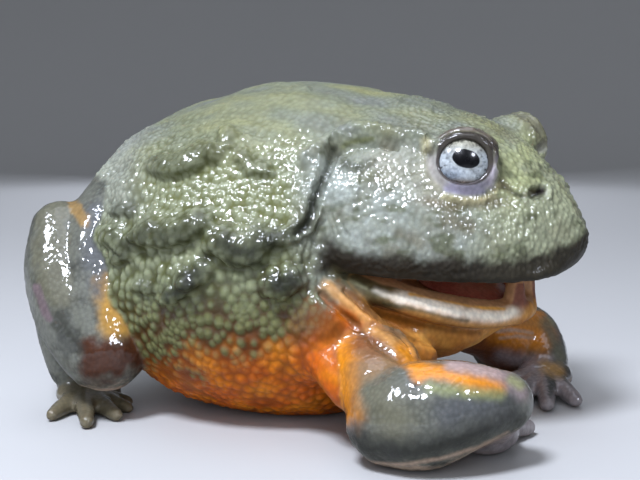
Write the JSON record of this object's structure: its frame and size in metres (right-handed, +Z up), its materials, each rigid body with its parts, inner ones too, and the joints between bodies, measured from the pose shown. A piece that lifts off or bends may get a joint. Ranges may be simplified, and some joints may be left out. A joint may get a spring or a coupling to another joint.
{
  "type": "african bullfrog",
  "caption": "Life-size adult male African bullfrog sitting on its belly and forearms, mouth slightly open, hind legs folded.",
  "frame": {"origin": "centre of the model's footprint box, on the floor that the frog sits on", "axes": "+X forward along the body towards the snout, +Y to the frog's left, +Z up"},
  "size_m": [0.1468, 0.1242, 0.0887],
  "materials": {
    "back_skin": "wet, warty and folded",
    "limb_skin": "wet, finely wrinkled",
    "throat_skin": "wet, loose and smooth",
    "mouth_lining": "wet gloss",
    "eye": "clear wet gloss"
  },
  "bodies": {
    "root": {"torso": "back_skin", "head": "back_skin", "lower_jaw": "throat_skin", "throat": "throat_skin", "tongue": "mouth_lining", "eye_right": "eye", "eye_left": "eye", "upper_arm_right": "limb_skin", "upper_arm_left": "limb_skin", "forearm_right": "limb_skin", "forearm_left": "limb_skin", "hand_right": "limb_skin", "hand_left": "limb_skin", "thigh_right": "limb_skin", "thigh_left": "limb_skin", "shank_right": "limb_skin", "shank_left": "limb_skin", "tarsus_right": "limb_skin", "tarsus_left": "limb_skin", "foot_right": "limb_skin", "foot_left": "limb_skin"}
  },
  "joints": []
}
